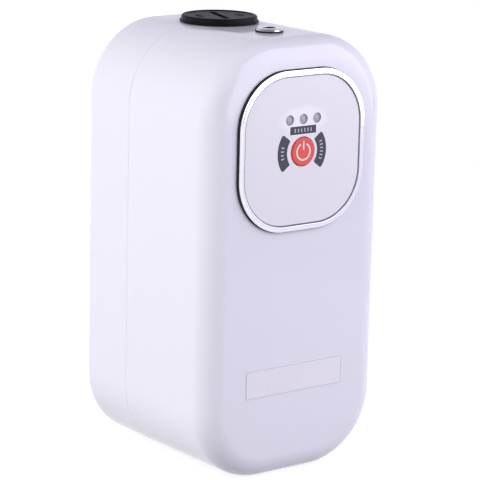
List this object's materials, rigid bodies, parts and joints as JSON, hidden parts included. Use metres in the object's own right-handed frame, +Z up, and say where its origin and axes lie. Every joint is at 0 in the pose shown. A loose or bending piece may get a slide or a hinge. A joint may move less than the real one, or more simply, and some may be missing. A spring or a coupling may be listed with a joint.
{
  "type": "shower pump",
  "caption": "In-line booster pump in a glossy rounded-box casing, with a chrome-ringed control panel, a slotted port plug on top and an open threaded inlet in the base.",
  "frame": {"origin": "centre of the footprint at the base, bezel included", "axes": "+Z up along the port axis, +X to the right seen from the front, +Y towards the back"},
  "size_m": [0.094, 0.094, 0.1932],
  "materials": {
    "casing_abs": "glossy moulded ABS",
    "rubber": "moulded rubber",
    "plated_steel": "bright zinc plated",
    "clear_film": "clear film",
    "bright_chrome": "bright chrome plating",
    "printed_overlay": "printed film, satin",
    "red_button": "semi-gloss moulded",
    "black_plastic": "moulded, matt",
    "light_pipe": "frosted light pipe",
    "led_package": "moulded package",
    "circuit_board": "solder mask",
    "capacitor_sleeve": "shrink sleeve",
    "header_nylon": "natural nylon",
    "plug_plastic": "moulded polypropylene, fine texture",
    "pump_plastic": "glass-filled moulding",
    "brass_insert": "turned brass",
    "white_plastic": "natural acetal",
    "magnet_ferrite": "bonded ferrite",
    "carbon_bush": "carbon, lapped",
    "stator_laminations": "stacked laminations",
    "copper_winding": "enamelled copper",
    "lead_insulation": "PVC insulation"
  },
  "bodies": {
    "casing": {"front_cover": "casing_abs", "rear_cover": "casing_abs", "seam_gaskets": "rubber", "case_screws": "plated_steel", "port_collars": "rubber", "front_label": "clear_film", "bezel_ring": "bright_chrome", "control_panel": "casing_abs", "panel_label": "printed_overlay", "button_switch": "black_plastic", "indicator_lens": "light_pipe", "indicator_leds": "led_package", "controller_board": "circuit_board", "driver_chips": "black_plastic", "board_capacitor": "capacitor_sleeve", "lead_headers": "header_nylon", "board_screws": "plated_steel", "jack_body": "bright_chrome", "jack_washer": "rubber", "jack_nut": "plated_steel", "jack_insulator": "black_plastic", "jack_pin": "plated_steel", "pump_body": "pump_plastic", "outlet_insert": "brass_insert", "inlet_insert": "brass_insert", "inlet_strainer": "plated_steel", "can_bush": "carbon_bush", "carrier_bush": "carbon_bush", "thrust_washers": "white_plastic", "bearing_carrier": "pump_plastic", "rotor_can": "pump_plastic", "can_seal": "rubber", "stator_core": "stator_laminations", "stator_coils": "copper_winding", "motor_housing": "pump_plastic", "motor_screws": "plated_steel", "lead_grommet": "rubber", "poppet_spring": "plated_steel", "poppet_guide": "white_plastic", "reed_switch": "black_plastic", "jack_lead": "lead_insulation", "motor_lead": "lead_insulation", "sensor_lead": "lead_insulation"},
    "button": {"power_button": "red_button", "switch_plunger": "black_plastic"},
    "seal": {"plug_seal": "rubber"},
    "plug": {"port_plug": "plug_plastic"},
    "rotor": {"impeller": "white_plastic", "rotor_magnet": "magnet_ferrite", "rotor_shaft": "plated_steel"},
    "poppet": {"flow_poppet": "white_plastic", "poppet_magnet": "magnet_ferrite"}
  },
  "joints": [
    {"name": "button_press", "type": "slide", "parent": "casing", "child": "button", "axis": [0, 1, 0], "range_m": [0, 0.0005], "stiffness_N_per_m": 2500, "springref_m": -0.0003},
    {"name": "plug_lift", "type": "slide", "parent": "casing", "child": "seal", "axis": [0, 0, 1], "range_m": [0, 0.014]},
    {"name": "plug_turn", "type": "hinge", "parent": "seal", "child": "plug", "pos_m": [0, 0.014, 0.19], "axis": [0, 0, 1], "range_deg": [0, 2798]},
    {"name": "rotor_spin", "type": "hinge", "parent": "casing", "child": "rotor", "pos_m": [0, 0, 0.066], "axis": [0, 1, 0], "continuous": true},
    {"name": "poppet_lift", "type": "slide", "parent": "casing", "child": "poppet", "axis": [0, 0, 1], "range_m": [0, 0.006], "stiffness_N_per_m": 30, "springref_m": -0.01, "deforming": ["poppet_spring"]}
  ],
  "couplings": [
    {"joint": "plug_turn", "follows": "plug_lift", "rad_per_m": 3463.2}
  ]
}
